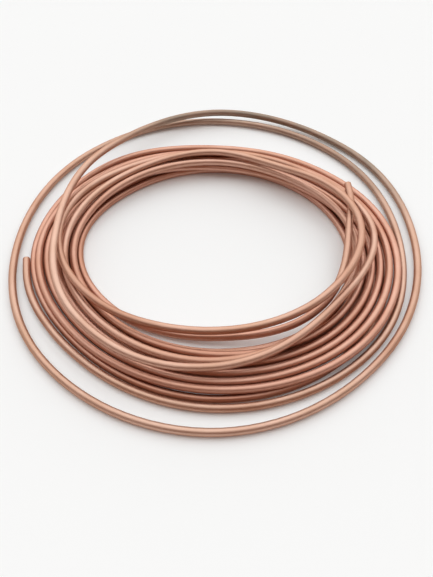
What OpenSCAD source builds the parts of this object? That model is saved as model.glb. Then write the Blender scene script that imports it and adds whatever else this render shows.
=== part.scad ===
// Loose coil of thin copper tube as it lies on a floor. It is one tube in one piece: a flat spiral
// on the floor, a second layer wound back over it, crossing turns on top, an inner end that lies
// over the bundle, and an outer end that has sprung open into wide loops.
// Millimetres. The right is +X, the back is +Y, up is +Z. The floor is Z = 0.

/* [Tube] */
// outside diameter of the tube
tube_od = 4.76; // [3.2:0.01:6.4]
// wall thickness of the tube
tube_wall = 0.7; // [0.4:0.05:1.2]
// straight length of the inner end
inner_len = 12; // [10:1:16]
// straight length of the outer end
outer_len = 17; // [12:1:18]
// depth of the open bore at each cut end
bore_len = 8; // [4:1:9]

/* [Bundle] */
// distance from the middle to the innermost lane at the back
lane_back = 73; // [65:0.5:85]
// distance from the middle to the innermost lane at the back right
lane_back_right = 76; // [68:0.5:88]
// distance from the middle to the innermost lane at the right
lane_right = 85; // [77:0.5:97]
// distance from the middle to the innermost lane at the front right
lane_front_right = 93; // [85:0.5:105]
// distance from the middle to the innermost lane at the front
lane_front = 92; // [84:0.5:104]
// distance from the middle to the innermost lane at the front left
lane_front_left = 91.5; // [83:0.5:103]
// distance from the middle to the innermost lane at the left
lane_left = 93.5; // [85:0.5:105]
// distance from the middle to the innermost lane at the back left
lane_back_left = 79.5; // [71:0.5:91]
// how far the lanes fan out at the front, as a multiple of their pitch
front_spread = 1.06; // [1:0.02:1.3]

/* [Winding] */
// turns side by side on the floor, inside the stray one
floor_turns = 4; // [3:1:5]
// gap between turns that lie side by side
turn_gap = 0.3; // [0.25:0.05:0.6]
// gap kept between turns that cross or lie on each other
rest_gap = 0.15; // [0.1:0.05:0.2]
// gap kept under the inner end, which springs up, so that a fitting goes on
end_gap = 0.75; // [0.65:0.05:1]

/* [Hidden] */
tube_id = tube_od - 2 * tube_wall;
pitch = tube_od + turn_gap;
rest = tube_od + rest_gap;
end_rest = tube_od + end_gap;

// a turn passes eight clock positions: back, back right, right, front right, front, front left,
// left and back left
lane_in = [
    lane_back, lane_back_right, lane_right, lane_front_right,
    lane_front, lane_front_left, lane_left, lane_back_left
];
clock = len(lane_in);
sector = 360 / clock;
side_spread = (1 + front_spread) / 2;
fan = [1, 1, 1, side_spread, front_spread, side_spread, 1, 1];

// lane of each turn at the clock positions, counted outwards from the innermost lane
inner_end_turn = [11, 6.7, 0, -0.9, -2, -1.15, -1.1, -0.5];
step_out = [0, 0, 0, 0, 0, 0, 0, 0.5];
floor_spiral = [for (j = [0:floor_turns - 1]) [for (v = step_out) j + v]];
stray_turn = [for (v = [0, 0, 0, 0.9, 1.9, 0.9, 0.5, 1]) floor_turns + v];
second_sway = [-0.6, -0.3, 1.35, 1.6, 1.4, 0.6, -0.45, -0.5];
second_step = 1.05;
second_layer = [for (j = [0:floor_turns - 1]) [for (v = second_sway) floor_turns + v - second_step * j]];
crossing_turns = [
    [-0.8, -0.5, 1.15, 1.3, 1, 0.4, -0.65, -0.7],
    [-0.8, -0.9, 0.4, 0.4, 2.5, 1.9, 0.2, 0.3],
    [0.2, -1, 0.95, -0.6, -1.4, 0.7, 1.1, 1.35],
    [1.3, 1.7, 2.9, 0.75, 3.75, 4, 1.2, 5.75]
];
first_sway = [8, 7.85, 4.75, 3.9, 5.78, 5, 2.95, 6];
last_sway = [7.48, 5.75, 2.75, 2.5, 3, 1.98, 1.68, 3.1];
outer_loops = [for (sway = [first_sway, last_sway]) [for (v = sway) floor_turns + v]];
lanes = concat([inner_end_turn], floor_spiral, [stray_turn], second_layer, crossing_turns, outer_loops);
turns = len(lanes);
first_loop = turns - len(outer_loops);

// clockwise angle from the back where the tube starts and stops, where its inner end dips inside,
// and where the last crossing turn comes out from under that end
start_angle = 62;
stop_angle = 266;
dip_angle = 200;
tuck_angle = 150;

// facets of the wound part: stations in a turn, and sides of the tube
stations = 30;
sides = 10;
step = 360 / stations;
count = ((turns - 1) * 360 + stop_angle - start_angle) / step + 1;
// the faceted tube stays inside the round one, and runs a little way into each straight end
skin_inset = 0.03;
sweep_r = tube_od / 2 - skin_inset;
joint = 2;
// how far the cut of a bore runs past the cut end
cut_past = 1;

function angle_at(i) = start_angle + i * step;
function clip(i) = max(0, min(count - 1, i));

// reach of the tube from the middle, eased between the clock positions
knots = [for (row = lanes) for (q = [0:clock - 1]) lane_in[q] + row[q] * pitch * fan[q]];
function knot(i) = knots[max(0, min(len(knots) - 1, i))];
function slope(i) = (knot(i + 1) - knot(i - 1)) * sector * PI / 360 / sin(sector);
function reach_at(a) =
    let (i = floor(a / sector), t = a / sector - i, u = 1 - t)
    knot(i) * (1 + 2 * t) * u * u + slope(i) * t * u * u
    + knot(i + 1) * t * t * (3 - 2 * t) - slope(i + 1) * t * t * u;
reach = [for (i = [0:count - 1]) reach_at(angle_at(i))];

// place in the pile: a turn rests on every turn of lower rank that it lies over
inner_rank = first_loop - 2.5;
tucked_rank = inner_rank - 0.25;
function rank_at(a) =
    let (k = floor(a / 360))
    k == 0 ? (a < dip_angle ? inner_rank : 0)
    : k >= first_loop ? 0.1
    : k == first_loop - 1 && a - 360 * k < tuck_angle ? tucked_rank
    : k;
ranks = [for (i = [0:count - 1]) rank_at(angle_at(i))];

// how close two turns pass, seen from above, near one station
function pass(i, m) =
    let (d = [for (q = [-1:1]) reach[clip(i + q)] - reach[clip(m + q)]])
    min(d) < 0 && max(d) > 0 ? 0 : min([for (v = d) abs(v)]);

// height that the turns below give each station
function lifted(i, z) =
    let (apart = i < 2 ? end_rest : rest)
    max([
        tube_od / 2,
        for (m = [i % stations:stations:count - 1])
            let (d = ranks[m] < ranks[i] ? pass(i, m) : apart)
            if (d < apart) z[m] + sqrt(apart * apart - d * d)
    ]);

// the tube is stiff, so it leaves and meets its supports in a long easy curve
stiff = 2;
ease = [for (q = [-stiff:stiff]) (1 + cos(180 * q / (stiff + 1))) / (2 * stiff + 2)];
function spanned(h, i) = max([for (q = [-stiff:stiff]) h[clip(i + q)]]);
function eased(h, i) = [for (q = [-stiff:stiff]) h[clip(i + q)]] * ease;
function layer(z) =
    let (
        low = [for (i = [0:count - 1]) lifted(i, z)],
        span = [for (i = [0:count - 1]) spanned(low, i)]
    )
    [for (i = [0:count - 1]) eased(span, i)];
function settled(z, n) = n == 0 ? z : settled(layer(z), n - 1);
height = settled([for (i = [0:count - 1]) tube_od / 2], 8);

// centre line of the tube, and its straight ends
function spot(i) =
    let (a = angle_at(i))
    [reach[i] * sin(a), reach[i] * cos(a), height[i]];
line = [for (i = [0:count - 1]) spot(i)];
mid_x = (max([for (p = line) p[0]]) + min([for (p = line) p[0]])) / 2;
mid_y = (max([for (p = line) p[1]]) + min([for (p = line) p[1]])) / 2;

function unit(v) = v / norm(v);
inner_base = line[1];
inner_out = unit(line[0] - line[1]);
outer_base = line[count - 2];
outer_out = unit(line[count - 1] - line[count - 2]);
wound = [for (i = [1:count - 2]) line[i]];
path = concat([inner_base + joint * inner_out], wound, [outer_base + joint * outer_out]);
last = len(path) - 1;
function along(i) =
    i < 2 ? -inner_out : i > last - 2 ? outer_out : unit(path[i + 1] - path[i - 1]);
function ring(i) =
    let (t = along(i), side = unit(cross([0, 0, 1], t)), top = cross(t, side))
    [for (j = [0:sides - 1])
        let (a = 360 * (j + 0.5) / sides)
        path[i] + sweep_r * (cos(a) * side + sin(a) * top)];

// the wound part of the tube
module wound_tube() {
    skin = [for (i = [0:last - 1]) for (j = [0:sides - 1])
        let (a = i * sides + j, b = i * sides + (j + 1) % sides)
        each [[a, b + sides, b], [a, a + sides, b + sides]]];
    cap_start = [for (j = [0:sides - 1]) j];
    cap_stop = [for (j = [sides - 1:-1:0]) last * sides + j];
    polyhedron(points = [for (i = [0:last]) each ring(i)], faces = concat(skin, [cap_start, cap_stop]));
}

// places a straight length so that it runs out of the tube at a point
module running_out(p, out) {
    translate(p)
        rotate([0, acos(out[2]), atan2(out[1], out[0])])
            children();
}

// straight cut end of the tube
module straight_end(len) {
    cylinder(h = len, d = tube_od, $fn = 48);
}

// open bore of a cut end
module end_bore(len) {
    translate([0, 0, len - bore_len])
        cylinder(h = bore_len + cut_past, d = tube_id, $fn = 48);
}

module copper_tube() {
    color([0.76, 0.48, 0.36])
        translate([-mid_x, -mid_y, 0])
            difference() {
                union() {
                    wound_tube();
                    running_out(inner_base, inner_out) straight_end(inner_len);
                    running_out(outer_base, outer_out) straight_end(outer_len);
                }
                running_out(inner_base, inner_out) end_bore(inner_len);
                running_out(outer_base, outer_out) end_bore(outer_len);
            }
}

copper_tube();
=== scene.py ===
import math

import bpy
import numpy as np
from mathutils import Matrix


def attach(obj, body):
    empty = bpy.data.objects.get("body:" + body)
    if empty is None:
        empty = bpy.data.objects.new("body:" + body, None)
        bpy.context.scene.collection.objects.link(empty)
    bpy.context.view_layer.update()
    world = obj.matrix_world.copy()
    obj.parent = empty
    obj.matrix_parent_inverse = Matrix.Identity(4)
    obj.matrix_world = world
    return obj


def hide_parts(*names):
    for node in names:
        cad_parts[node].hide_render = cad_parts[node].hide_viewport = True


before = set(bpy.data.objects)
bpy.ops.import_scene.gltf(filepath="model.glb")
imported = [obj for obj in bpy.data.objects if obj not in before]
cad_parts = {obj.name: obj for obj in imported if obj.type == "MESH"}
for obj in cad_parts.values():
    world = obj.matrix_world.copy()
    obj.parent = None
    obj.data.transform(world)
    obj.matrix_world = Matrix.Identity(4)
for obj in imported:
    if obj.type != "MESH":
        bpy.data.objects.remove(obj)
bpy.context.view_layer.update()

MM = 0.001
TINY = 1e-6
# width of the photograph, which is 433 by 577 pixels
IMAGE_W = 433


# The route of the tube, by the same rule as the part's source. Lengths are in millimetres, angles in
# degrees clockwise from the back, and lanes are counted outwards from the innermost one.
TUBE_OD = 4.76
TUBE_WALL = 0.7
INNER_LEN = 12.0
OUTER_LEN = 17.0
BORE_LEN = 8.0
TURN_GAP = 0.3
REST_GAP = 0.15
END_GAP = 0.75
FRONT_SPREAD = 1.06
FLOOR_TURNS = 4
# reach of the innermost lane at the eight clock positions, and the lanes of the turns there
LANE_IN = [73, 76, 85, 93, 92, 91.5, 93.5, 79.5]
INNER_END_TURN = [11, 6.7, 0, -0.9, -2, -1.15, -1.1, -0.5]
STEP_OUT = [0, 0, 0, 0, 0, 0, 0, 0.5]
STRAY_SWAY = [0, 0, 0, 0.9, 1.9, 0.9, 0.5, 1]
SECOND_SWAY = [-0.6, -0.3, 1.35, 1.6, 1.4, 0.6, -0.45, -0.5]
SECOND_STEP = 1.05
CROSSING_TURNS = [
    [-0.8, -0.5, 1.15, 1.3, 1, 0.4, -0.65, -0.7],
    [-0.8, -0.9, 0.4, 0.4, 2.5, 1.9, 0.2, 0.3],
    [0.2, -1, 0.95, -0.6, -1.4, 0.7, 1.1, 1.35],
    [1.3, 1.7, 2.9, 0.75, 3.75, 4, 1.2, 5.75],
]
LOOP_SWAYS = [
    [8, 7.85, 4.75, 3.9, 5.78, 5, 2.95, 6],
    [7.48, 5.75, 2.75, 2.5, 3, 1.98, 1.68, 3.1],
]
# where the tube starts and stops, where its inner end dips inside, and where the last crossing turn
# comes out from under that end
START_ANGLE = 62
STOP_ANGLE = 266
DIP_ANGLE = 200
TUCK_ANGLE = 150
TURN = 360
SECTOR = TURN / len(LANE_IN)
# places in the pile: how far the inner end is below the first loop's number, how far the tucked turn
# is below the inner end, and the place of the loops, which lie on the floor
INNER_UNDER = 2.5
TUCK_UNDER = 0.25
LOOP_RANK = 0.1
# stations in a turn, stations of the inner end that spring up, reach of the tube's stiffness in
# stations, and passes of the resting rule
STATIONS = 30
END_STATIONS = 2
STIFF = 2
PASSES = 8


def hermite(p, slope_p, q, slope_q, t):
    """Place at t, from 0 to 1, on the cubic that leaves p and meets q with the given slopes."""
    u = 1 - t
    return (p * (1 + 2 * t) * u * u + slope_p * t * u * u
            + q * t * t * (3 - 2 * t) - slope_q * t * t * u)


def lane_table():
    """Lane of each turn at the clock positions."""
    floor_spiral = [[j + v for v in STEP_OUT] for j in range(FLOOR_TURNS)]
    stray = [FLOOR_TURNS + v for v in STRAY_SWAY]
    second = [[FLOOR_TURNS + v - SECOND_STEP * j for v in SECOND_SWAY] for j in range(FLOOR_TURNS)]
    loops = [[FLOOR_TURNS + v for v in sway] for sway in LOOP_SWAYS]
    return np.array([INNER_END_TURN] + floor_spiral + [stray] + second + CROSSING_TURNS + loops)


def pile_rank(angle, first_loop):
    """Place in the pile: a turn rests on every turn of lower rank that it lies over."""
    turn = np.floor(angle / TURN)
    inner_rank = first_loop - INNER_UNDER
    rank = np.where(turn >= first_loop, LOOP_RANK, turn)
    rank = np.where(turn == 0, np.where(angle < DIP_ANGLE, inner_rank, 0), rank)
    tucked = (turn == first_loop - 1) & (angle - TURN * turn < TUCK_ANGLE)
    return np.where(tucked, inner_rank - TUCK_UNDER, rank)


def resting_height(reach, rank):
    """Height of each station, on the floor or on the turns below it, eased because the tube is stiff."""
    count = len(reach)
    offsets = range(-STIFF, STIFF + 1)
    near = [np.clip(np.arange(count) + q, 0, count - 1) for q in offsets]
    ease = np.array([1 + math.cos(math.pi * q / (STIFF + 1)) for q in offsets]) / (2 * STIFF + 2)
    beside = near[STIFF - 1:STIFF + 2]
    below = []
    for i in range(count):
        apart = TUBE_OD + (END_GAP if i < END_STATIONS else REST_GAP)
        for m in range(i % STATIONS, count, STATIONS):
            if rank[m] >= rank[i]:
                continue
            d = [reach[n[i]] - reach[n[m]] for n in beside]
            gap = 0 if min(d) < 0 < max(d) else min(abs(v) for v in d)
            if gap < apart:
                below.append((i, m, math.sqrt(apart * apart - gap * gap)))
    height = np.full(count, TUBE_OD / 2)
    for _ in range(PASSES):
        low = np.full(count, TUBE_OD / 2)
        for i, m, lift in below:
            low[i] = max(low[i], height[m] + lift)
        span = np.max([low[n] for n in near], axis=0)
        height = sum(w * span[n] for w, n in zip(ease, near))
    return height


def route():
    """Reach by angle, and the angle and height of each station."""
    side_spread = (1 + FRONT_SPREAD) / 2
    fan = np.array([1, 1, 1, side_spread, FRONT_SPREAD, side_spread, 1, 1])
    lanes = lane_table()
    knots = (np.array(LANE_IN) + lanes * (TUBE_OD + TURN_GAP) * fan).ravel()
    bend = math.radians(SECTOR) / 2 / math.sin(math.radians(SECTOR))

    def knot(i):
        return knots[np.clip(i, 0, len(knots) - 1)]

    def slope(i):
        return (knot(i + 1) - knot(i - 1)) * bend

    def reach_at(a):
        i = np.floor(a / SECTOR).astype(int)
        return hermite(knot(i), slope(i), knot(i + 1), slope(i + 1), a / SECTOR - i)

    step = TURN / STATIONS
    count = round(((len(lanes) - 1) * TURN + STOP_ANGLE - START_ANGLE) / step) + 1
    angle = START_ANGLE + step * np.arange(count)
    rank = pile_rank(angle, len(lanes) - len(LOOP_SWAYS))
    return reach_at, angle, resting_height(reach_at(angle), rank)


def smooth(x, xs, ys):
    """Cubic through evenly spaced stations."""
    last = len(xs) - 1
    u = np.clip((x - xs[0]) / (xs[1] - xs[0]), 0, last - TINY)
    i = u.astype(int)
    before, here, there, after = (ys[np.clip(i + q, 0, last)] for q in (-1, 0, 1, 2))
    return hermite(here, (there - before) / 2, there, (after - here) / 2, u - i)


def unit(v):
    return v / np.linalg.norm(v)


def bridge(p, way_p, q, way_q, n):
    """Points of an easy bend from p to q, without its ends."""
    reach = np.linalg.norm(q - p)
    t = np.linspace(0, 1, n + 2)[1:-1, None]
    return hermite(p, reach * way_p, q, reach * way_q, t)


# Points of the drawn tube: degrees between two of them, how many of the first and last are left out
# for the ends, the straight run behind each tip, and the points of that run and of the bend to it.
FINE_STEP = 3.0
SKIP_START = 8
SKIP_STOP = 10
STRAIGHT = 11.0
STRAIGHT_POINTS = 5
BEND_POINTS = 6


def centre_line():
    """Centre line from the inner tip to the outer tip, the angle at each point, and the coil's middle."""
    reach_at, angle, height = route()

    def place(a):
        r = reach_at(a)
        th = np.radians(a)
        return np.c_[r * np.sin(th), r * np.cos(th), smooth(a, angle, height)]

    line = place(angle)
    mid = np.append((line[:, :2].max(0) + line[:, :2].min(0)) / 2, 0)
    inner_out = unit(line[0] - line[1])
    outer_out = unit(line[-1] - line[-2])
    inner_tip = line[1] + INNER_LEN * inner_out
    outer_tip = line[-2] + OUTER_LEN * outer_out
    fine = np.arange(angle[0], angle[-1] + TINY, FINE_STEP)[SKIP_START:-SKIP_STOP]
    wound = place(fine)
    depth = np.linspace(0, STRAIGHT, STRAIGHT_POINTS)[:, None]
    start = inner_tip - inner_out * depth
    stop = (outer_tip - outer_out * depth)[::-1]
    lead_in = bridge(start[-1], -inner_out, wound[0], unit(wound[1] - wound[0]), BEND_POINTS)
    lead_out = bridge(wound[-1], unit(wound[-1] - wound[-2]), stop[0], outer_out, BEND_POINTS)
    pts = np.vstack([start, lead_in, wound, lead_out, stop])
    turned = np.pad(fine, STRAIGHT_POINTS + BEND_POINTS, mode="edge")
    return pts - mid, turned, mid


# Share from 0 to 1 of a grey and tan look. The loops are greyer at an angle near the back, over a reach
# with a fade, the last one less. Both loops are aired along their length, and the top of the pile is
# painted paler, as painted light, from a height in millimetres upwards.
DULL_AT = 20
DULL_REACH = 75
DULL_FADE = 45
DULL_LAST = 0.7
AIRED_AND_TOP_LIGHT = 0.3
AIRED_FADE = 60
TOP_LIGHT_SHARE = 0.75
TOP_FROM = 8.0
TOP_FADE = 7.0


def dullness(turned, height):
    """How grey and tan each point is, and how much painted light the top of the pile has: the loops and the
    top of the pile a little, the loops' back most.
    """
    half = TURN / 2
    away = np.abs((turned - DULL_AT + half) % TURN - half)
    ease = np.clip((DULL_REACH - away) / DULL_FADE, 0, 1)
    last_loop = turned[-1] - TURN
    first_loop = last_loop - TURN
    share = np.where(turned > last_loop, DULL_LAST, np.where(turned > first_loop, 1, 0))
    aired = np.clip((turned - first_loop) / AIRED_FADE, 0, 1)
    # the top of the pile is painted paler from a height upwards: painted light
    top_light = TOP_LIGHT_SHARE * np.clip((height - TOP_FROM) / TOP_FADE, 0, 1)
    dull = share * ease * ease * (3 - 2 * ease)
    return AIRED_AND_TOP_LIGHT * np.maximum(aired, top_light) + (1 - AIRED_AND_TOP_LIGHT) * dull


# Skin of the tube: its sides, and the rings of a cut end from the bore's floor out to the skin. A ring
# is a step from the bore's or the skin's radius and a depth behind the tip.
SIDES = 20
BORE_RINGS = [(0.0, BORE_LEN), (0.0, 6.0), (0.0, 1.2), (0.0, 0.22), (0.06, 0.07), (0.16, 0.0)]
SKIN_RINGS = [(-0.2, 0.0), (-0.07, 0.06), (0.0, 0.24)]
# Map for the bake: its strips, the share of the last one that stays free, the share of a strip's length
# that is used, and, as shares of its width, the margin at each edge and the radius of a bore floor.
STRIPS = 25
SPARE = 0.1
STRIP_FILL = 0.98
STRIP_EDGE = 0.08
DISC = 0.25


def walked(pts):
    """Length of the way to each point."""
    return np.concatenate([[0], np.cumsum(np.linalg.norm(np.diff(pts, axis=0), axis=1))])


def strip_map(mesh, seam, around):
    """Lays the skin out in strips, one above the other, with the two bore floors after the last."""
    way = walked(seam)
    strip_len = way[-1] / (STRIPS - SPARE)
    strip = np.floor(way[:-1] / strip_len)
    start = (way[:-1] - strip * strip_len) / strip_len * STRIP_FILL
    stop = (way[1:] - strip * strip_len) / strip_len * STRIP_FILL
    across = STRIP_EDGE + (1 - 2 * STRIP_EDGE) * np.arange(SIDES + 1) / SIDES
    corners = []
    for row, u0, u1 in zip(strip, start, stop):
        v = (row + across) / STRIPS
        for v0, v1 in zip(v[:-1], v[1:]):
            corners += [(u0, v0), (u0, v1), (u1, v1), (u1, v0)]
    # both discs lie in the free end of the last strip, half a disc's width from its edges and each other
    size = DISC / STRIPS
    high = 1 - 2 * size
    for middle in (high, high - 3 * size):
        corners += [(middle + size * math.cos(v), high + size * math.sin(v)) for v in around]
    layer = mesh.uv_layers.new(name="OFBake")
    layer.data.foreach_set("uv", np.array(corners, dtype=np.float32).ravel())


def tube_mesh(name, pts, dull):
    """One closed tube skin with a chamfered open bore at both ends.

    Its attribute 'drawn' runs round and along the tube in millimetres, and 'dull' is its share of grey and
    tan, with the painted light on the top of the pile.
    """
    tan = np.gradient(pts, axis=0)
    tan /= np.linalg.norm(tan, axis=1)[:, None]
    side = np.cross([0, 0, 1.0], tan)
    side /= np.linalg.norm(side, axis=1)[:, None]
    top = np.cross(tan, side)
    along = walked(pts)
    r_out = TUBE_OD / 2
    r_in = r_out - TUBE_WALL
    rim = [(r_in + grow, depth) for grow, depth in BORE_RINGS]
    rim += [(r_out + grow, depth) for grow, depth in SKIN_RINGS]
    # bore floor, bore, rim and skin at the inner end, then the skin, then the same at the outer end
    rings = [(pts[0] + tan[0] * depth, side[0], top[0], r, depth, dull[0]) for r, depth in rim]
    for i in range(1, len(pts) - 1):
        rings.append((pts[i], side[i], top[i], r_out, along[i], dull[i]))
    for r, depth in reversed(rim):
        rings.append((pts[-1] - tan[-1] * depth, side[-1], top[-1], r, along[-1] - depth, dull[-1]))
    around = np.arange(SIDES) * 2 * math.pi / SIDES
    verts = []
    drawn = []
    for p, s, t, r, a, _ in rings:
        for v in around:
            verts.append((p + r * (math.cos(v) * s + math.sin(v) * t)) * MM)
            drawn.append((math.cos(v) * r, math.sin(v) * r, a))
    faces = []
    for i in range(len(rings) - 1):
        for j in range(SIDES):
            k = (j + 1) % SIDES
            faces.append((i * SIDES + j, i * SIDES + k, (i + 1) * SIDES + k, (i + 1) * SIDES + j))
    end = (len(rings) - 1) * SIDES
    faces.append(tuple(reversed(range(SIDES))))
    faces.append(tuple(end + j for j in range(SIDES)))
    mesh = bpy.data.meshes.new(name)
    mesh.from_pydata([tuple(v) for v in verts], [], faces)
    strip_map(mesh, np.array(verts[::SIDES]), around)
    attr = mesh.attributes.new("drawn", "FLOAT_VECTOR", "POINT")
    attr.data.foreach_set("vector", np.array(drawn, dtype=np.float32).ravel())
    attr = mesh.attributes.new("dull", "FLOAT", "POINT")
    attr.data.foreach_set("value", np.repeat([ring[-1] for ring in rings], SIDES).astype(np.float32))
    mesh.validate()
    mesh.shade_smooth()
    return bpy.data.objects.new(name, mesh)


def opaque(colour):
    return tuple(colour) + (1.0,)


def grey(v):
    return (v, v, v)


def linear(c):
    return c / 12.92 if c <= 0.04045 else ((c + 0.055) / 1.055) ** 2.4


def srgb(*levels):
    """Colour as the shader takes it, from sRGB levels of 0 to 255."""
    return tuple(linear(level / 255) for level in levels)


class Nodes:
    """Short hand for a node tree."""

    def __init__(self, tree):
        self.tree = tree

    def feed(self, socket, value):
        """Links another node's output to a socket, or sets the socket's own value."""
        if hasattr(value, "is_linked"):
            self.tree.links.new(value, socket)
        else:
            socket.default_value = value

    def add(self, kind, inputs=None, **props):
        node = self.tree.nodes.new(kind)
        for key, value in props.items():
            setattr(node, key, value)
        for key, value in (inputs or {}).items():
            self.feed(node.inputs[key], value)
        return node

    def math(self, operation, *values, clamp=False):
        node = self.add("ShaderNodeMath", operation=operation, use_clamp=clamp)
        for socket, value in zip(node.inputs, values):
            self.feed(socket, value)
        return node.outputs[0]

    def noise(self, vector, scale, detail, rough):
        inputs = {"Vector": vector, "Scale": scale, "Detail": detail, "Roughness": rough}
        return self.add("ShaderNodeTexNoise", inputs).outputs["Fac"]

    def streaks(self, drawn, across, along, detail, rough):
        """Noise on the skin, with a scale across the tube and one along it, for each millimetre."""
        inputs = {"Vector": drawn, "Scale": (across, across, along)}
        return self.noise(self.add("ShaderNodeMapping", inputs).outputs[0], 1.0, detail, rough)

    def ramp(self, fac, stops):
        node = self.add("ShaderNodeValToRGB", {"Fac": fac})
        while len(node.color_ramp.elements) < len(stops):
            node.color_ramp.elements.new(1.0)
        for element, (at, colour) in zip(node.color_ramp.elements, stops):
            element.position = at
            element.color = opaque(colour)
        return node.outputs["Color"]

    def mask(self, fac, low, high, share):
        """Nothing below low, and a share above high."""
        return self.math("MULTIPLY", self.ramp(fac, [(low, grey(0)), (high, grey(1))]), share)

    def mix(self, fac, a, b, blend="MIX"):
        node = self.add("ShaderNodeMix", {"Factor": fac}, data_type="RGBA", blend_type=blend)
        for key, value in (("A", a), ("B", b)):
            self.feed(node.inputs[key], value if hasattr(value, "is_linked") else opaque(value))
        return node.outputs["Result"]


# Copper: tones along the tube, shades of neighbouring turns, shades of the bundle and of aired tube, and a
# paler shade painted on the top of the pile as painted light
TONES = [(0.3, srgb(195, 147, 127)), (0.5, srgb(211, 170, 154)), (0.7, srgb(206, 162, 141))]
TURN_SHADES = [(0.35, (0.87, 0.77, 0.72)), (0.65, (1.07, 1.09, 1.11))]
# darker and redder in the bundle, tan where aired, and paler on the top of the pile, which is painted light
AIR_AND_TOP_LIGHT_SHADES = [(0.0, (0.95, 0.895, 0.855)), (AIRED_AND_TOP_LIGHT, (0.92, 0.97, 0.93))]
TARNISH = srgb(188, 142, 118)
SPECK = srgb(140, 92, 70)
SCRATCH = srgb(232, 200, 184)
DULL_GREY = srgb(150, 135, 122)
EDGE_TINT = (0.80, 0.48, 0.36)
# noises on the skin: scale across the tube and along it, detail and roughness
DRIFT = (0.02, 0.012, 3.0, 0.55)
LINES = (3.2, 0.03, 4.0, 0.7)
SCRATCHES = (7.0, 0.12, 2.0, 0.6)
SPECKS = (1.4, 0.5, 3.0, 0.6)
TURN_TONE = (0.0, 0.0045, 1.0, 0.5)
PATCHES = (0.25, 0.06, 3.0, 0.6)
# noise of the handling bloom in space: scale, detail and roughness
BLOOM = (45.0, 4.0, 0.6)
# where tarnish, specks and scratches start and are full in their noise, and how strong they are
TARNISH_MASK = (0.42, 0.75, 0.35)
SPECK_MASK = (0.62, 0.78, 0.3)
SCRATCH_MASK = (0.56, 0.72, 0.4)
# gain and base of the dull patches
PATCH_GAIN = 1.2
PATCH_BASE = 0.2
# roughness of the clean metal, and what bloom, dullness and drawn lines add to it
ROUGH_CLEAN = 0.31
ROUGH_BLOOM = 0.12
ROUGH_DULL = 0.1
ROUGH_LINES = 0.18
# bump of the drawn lines, its height in metres
LINE_STRENGTH = 0.3
LINE_HEIGHT = 0.0002


def copper():
    """Satin drawn copper that has been handled, is tan and greyer in places, and is painted paler on the
    top of the pile as painted light.
    """
    mat = bpy.data.materials.new("satin_copper")
    mat.use_nodes = True
    n = Nodes(mat.node_tree)
    bsdf = mat.node_tree.nodes["Principled BSDF"]
    drawn = n.add("ShaderNodeAttribute", attribute_name="drawn").outputs["Vector"]
    place = n.add("ShaderNodeTexCoord").outputs["Object"]
    # slow drift of the tone, handling bloom, fine lines from the drawing die, scratches and specks
    drift = n.streaks(drawn, *DRIFT)
    bloom = n.noise(place, *BLOOM)
    lines = n.streaks(drawn, *LINES)
    scratches = n.streaks(drawn, *SCRATCHES)
    specks = n.streaks(drawn, *SPECKS)
    tone = n.ramp(drift, TONES)
    # no two neighbouring turns have quite the same tone, and the darker ones are redder
    turn_tone = n.streaks(drawn, *TURN_TONE)
    tone = n.mix(1.0, tone, n.ramp(turn_tone, TURN_SHADES), "MULTIPLY")
    tone = n.mix(n.mask(bloom, *TARNISH_MASK), tone, TARNISH)
    tone = n.mix(n.mask(specks, *SPECK_MASK), tone, SPECK)
    tone = n.mix(n.mask(scratches, *SCRATCH_MASK), tone, SCRATCH)
    # aired tube has gone tan, the top of the pile is painted paler as painted light, and the back of the
    # loops is greyer and rougher, in patches
    tint_and_top_light = n.add("ShaderNodeAttribute", attribute_name="dull").outputs["Fac"]
    tone = n.mix(1.0, tone, n.ramp(tint_and_top_light, AIR_AND_TOP_LIGHT_SHADES), "MULTIPLY")
    dull = n.math("MULTIPLY_ADD", tint_and_top_light, 1 / (1 - AIRED_AND_TOP_LIGHT), -AIRED_AND_TOP_LIGHT / (1 - AIRED_AND_TOP_LIGHT), clamp=True)
    patches = n.streaks(drawn, *PATCHES)
    dull = n.math("MULTIPLY", dull, n.math("MULTIPLY_ADD", patches, PATCH_GAIN, PATCH_BASE, clamp=True))
    tone = n.mix(dull, tone, DULL_GREY)
    rough = n.math("ADD", ROUGH_CLEAN, n.math("MULTIPLY", bloom, ROUGH_BLOOM))
    rough = n.math("ADD", rough, n.math("MULTIPLY", dull, ROUGH_DULL))
    rough = n.math("ADD", rough, n.math("MULTIPLY", lines, ROUGH_LINES))
    bump = n.add("ShaderNodeBump", {"Height": lines, "Strength": LINE_STRENGTH, "Distance": LINE_HEIGHT})
    bsdf.inputs["Metallic"].default_value = 1.0
    bsdf.inputs["Specular Tint"].default_value = opaque(EDGE_TINT)
    n.tree.links.new(tone, bsdf.inputs["Base Color"])
    n.tree.links.new(rough, bsdf.inputs["Roughness"])
    n.tree.links.new(bump.outputs[0], bsdf.inputs["Normal"])
    return mat


pts, turned, mid = centre_line()
tube = tube_mesh("tube_skin", pts, dullness(turned, pts[:, 2]))
bpy.context.scene.collection.objects.link(tube)
tube.data.materials.append(copper())
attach(tube, "root")
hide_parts("copper_tube")


# Floor: its colour, the lift that makes it near white, and its reach and height in metres.
FLOOR_COLOUR = grey(0.86)
FLOOR_LIFT = 0.05
FLOOR_REACH = 12.0
FLOOR_Z = -0.0004


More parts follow.
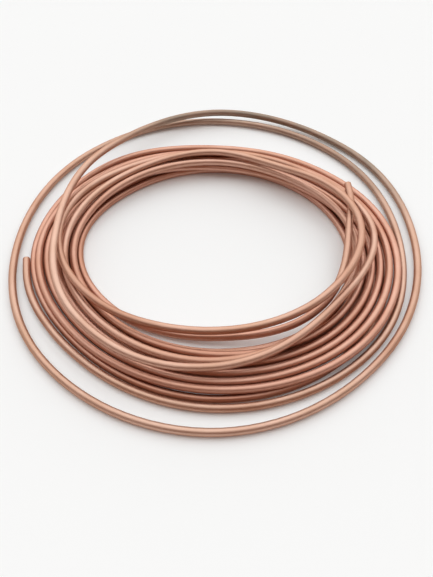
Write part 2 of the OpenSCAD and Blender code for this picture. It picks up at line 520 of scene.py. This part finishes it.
def pale_floor():
    """Matt floor that looks near white to the eye and in reflections, and keeps the shadow."""
    mat = bpy.data.materials.new("pale_floor")
    mat.use_nodes = True
    n = Nodes(mat.node_tree)
    bsdf = mat.node_tree.nodes["Principled BSDF"]
    bsdf.inputs["Base Color"].default_value = opaque(FLOOR_COLOUR)
    bsdf.inputs["Roughness"].default_value = 1.0
    bsdf.inputs["Specular IOR Level"].default_value = 0.0
    path = n.add("ShaderNodeLightPath").outputs
    seen = n.math("MAXIMUM", path["Is Camera Ray"], path["Is Glossy Ray"])
    seen = n.math("MAXIMUM", seen, path["Is Transmission Ray"])
    bsdf.inputs["Emission Color"].default_value = opaque(grey(1.0))
    n.tree.links.new(n.math("MULTIPLY", seen, FLOOR_LIFT), bsdf.inputs["Emission Strength"])
    return mat


square = ((-1, -1), (1, -1), (1, 1), (-1, 1))
floor_mesh = bpy.data.meshes.new("floor")
floor_mesh.from_pydata([(x * FLOOR_REACH, y * FLOOR_REACH, FLOOR_Z) for x, y in square], [], [(0, 1, 2, 3)])
floor_mesh.materials.append(pale_floor())
floor = bpy.data.objects.new("floor", floor_mesh)
bpy.context.scene.collection.objects.link(floor)


# Light: how far the dome leans to the back in degrees, its colours by the cosine of the angle from its
# axis, from the dark warm walls in front to the dome's middle, and the pale line at the horizon by height.
DOME_LEAN = 36
DOME = [(0.0, (0.24, 0.11, 0.065)), (0.2, (0.26, 0.12, 0.07)), (0.35, (0.42, 0.29, 0.23)),
        (0.5, (1.08, 1.11, 1.12)), (0.75, (1.43, 1.50, 1.51)), (1.0, (1.68, 1.76, 1.78))]
HORIZON = [(0.0, grey(0.94)), (0.115, grey(0.94)), (0.15, grey(0.0))]


def studio():
    """Soft dome of light that leans to the back, over dark warm walls with a pale line at the horizon."""
    world = bpy.data.worlds.new("studio")
    world.use_nodes = True
    w = Nodes(world.node_tree)
    way = w.add("ShaderNodeTexCoord").outputs["Generated"]
    lean = math.radians(DOME_LEAN)
    axis = (0, math.sin(lean), math.cos(lean))
    towards = w.add("ShaderNodeVectorMath", {0: way, 1: axis}, operation="DOT_PRODUCT").outputs["Value"]
    height = w.add("ShaderNodeSeparateXYZ", {0: way}).outputs["Z"]
    light = w.mix(1.0, w.ramp(towards, DOME), w.ramp(height, HORIZON), "LIGHTEN")
    w.tree.links.new(light, world.node_tree.nodes["Background"].inputs["Color"])
    return world


bpy.context.scene.world = studio()

# Camera, worked out from the outline of the outer loop: focal length in pixels, how far it looks down in
# degrees, its place in millimetres in the route's own frame, sensor width in millimetres, near clip.
FOCAL_PX = 759.29
ELEVATION = 47.694
EYE = np.array([0.28, -356.57, 347.55])
SENSOR = 36.0
CLIP_START = 0.01
camera = bpy.data.objects.new("camera", bpy.data.cameras.new("camera"))
camera.data.sensor_fit = "HORIZONTAL"
camera.data.sensor_width = SENSOR
camera.data.lens = FOCAL_PX * SENSOR / IMAGE_W
camera.data.clip_start = CLIP_START
camera.location = tuple((EYE - mid) * MM)
camera.rotation_euler = (math.radians(90 - ELEVATION), 0, 0)
bpy.context.scene.collection.objects.link(camera)
bpy.context.scene.camera = camera

bpy.context.scene.view_settings.view_transform = "Standard"
